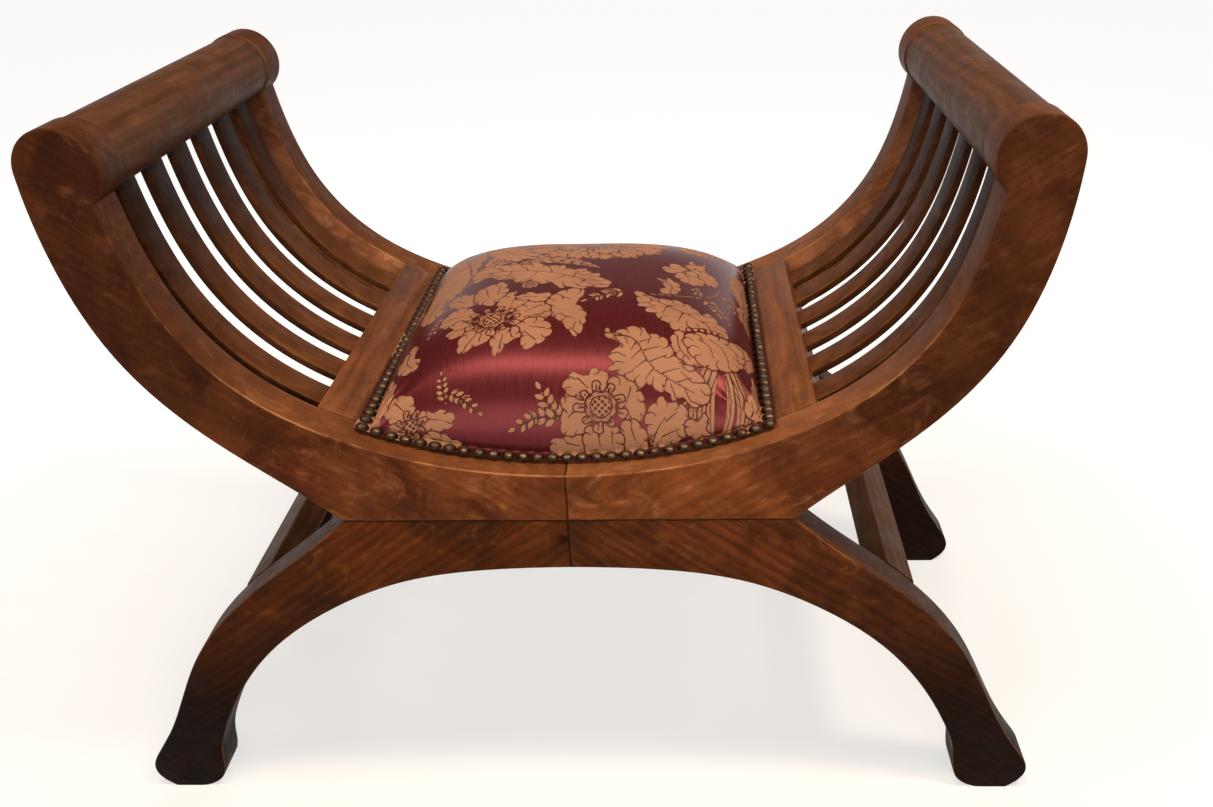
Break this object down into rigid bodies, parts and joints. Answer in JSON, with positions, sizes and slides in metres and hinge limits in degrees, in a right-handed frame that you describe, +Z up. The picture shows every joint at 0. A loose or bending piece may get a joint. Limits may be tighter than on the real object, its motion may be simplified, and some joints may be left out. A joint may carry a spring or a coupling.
{
  "type": "savonarola chair",
  "caption": "Low open armchair with two U-shaped sawn wooden frames, rounded hand rails, bent slatted arms, arched legs and a padded, nailed damask seat.",
  "frame": {"origin": "on the floor under the middle of the chair", "axes": "+X to the right as seen from the front, across the two arms; +Y from the front frame to the rear frame; +Z up"},
  "size_m": [0.842, 0.408, 0.6405],
  "materials": {
    "frame_wood": "stained and waxed walnut, satin, edges worn lighter",
    "rail_wood": "stained and waxed walnut, satin, sun-faded on top",
    "slat_wood": "stained and waxed walnut, satin",
    "dowel_wood": "plain turned beech",
    "webbing": "woven jute webbing",
    "hessian": "plain hessian",
    "padding": "hair and cotton felt filling",
    "damask": "satin damask with a woven floral figure",
    "antique_brass": "antiqued, darkened, rubbed bright on the domes",
    "tack_steel": "blued steel"
  },
  "bodies": {
    "root": {"arm_slat_left_1": "slat_wood", "arm_slat_left_2": "slat_wood", "arm_slat_left_3": "slat_wood", "arm_slat_left_4": "slat_wood", "arm_slat_left_5": "slat_wood", "arm_slat_left_6": "slat_wood", "arm_slat_right_1": "slat_wood", "arm_slat_right_2": "slat_wood", "arm_slat_right_3": "slat_wood", "arm_slat_right_4": "slat_wood", "arm_slat_right_5": "slat_wood", "arm_slat_right_6": "slat_wood", "arm_to_leg_dowels": "dowel_wood", "centre_dowels": "dowel_wood", "front_arm_left": "frame_wood", "front_arm_right": "frame_wood", "front_leg_left": "frame_wood", "front_leg_right": "frame_wood", "hand_rail_dowels": "dowel_wood", "hand_rail_left": "rail_wood", "hand_rail_right": "rail_wood", "leg_stretcher_left": "rail_wood", "leg_stretcher_right": "rail_wood", "rear_arm_left": "frame_wood", "rear_arm_right": "frame_wood", "rear_leg_left": "frame_wood", "rear_leg_right": "frame_wood", "seat_cover": "damask", "seat_hessian": "hessian", "seat_padding": "padding", "seat_rail_dowels": "dowel_wood", "seat_rail_left": "rail_wood", "seat_rail_right": "rail_wood", "seat_webbing": "webbing", "stretcher_dowels": "dowel_wood", "upholstery_nails": "antique_brass", "webbing_tacks": "tack_steel"}
  },
  "joints": []
}
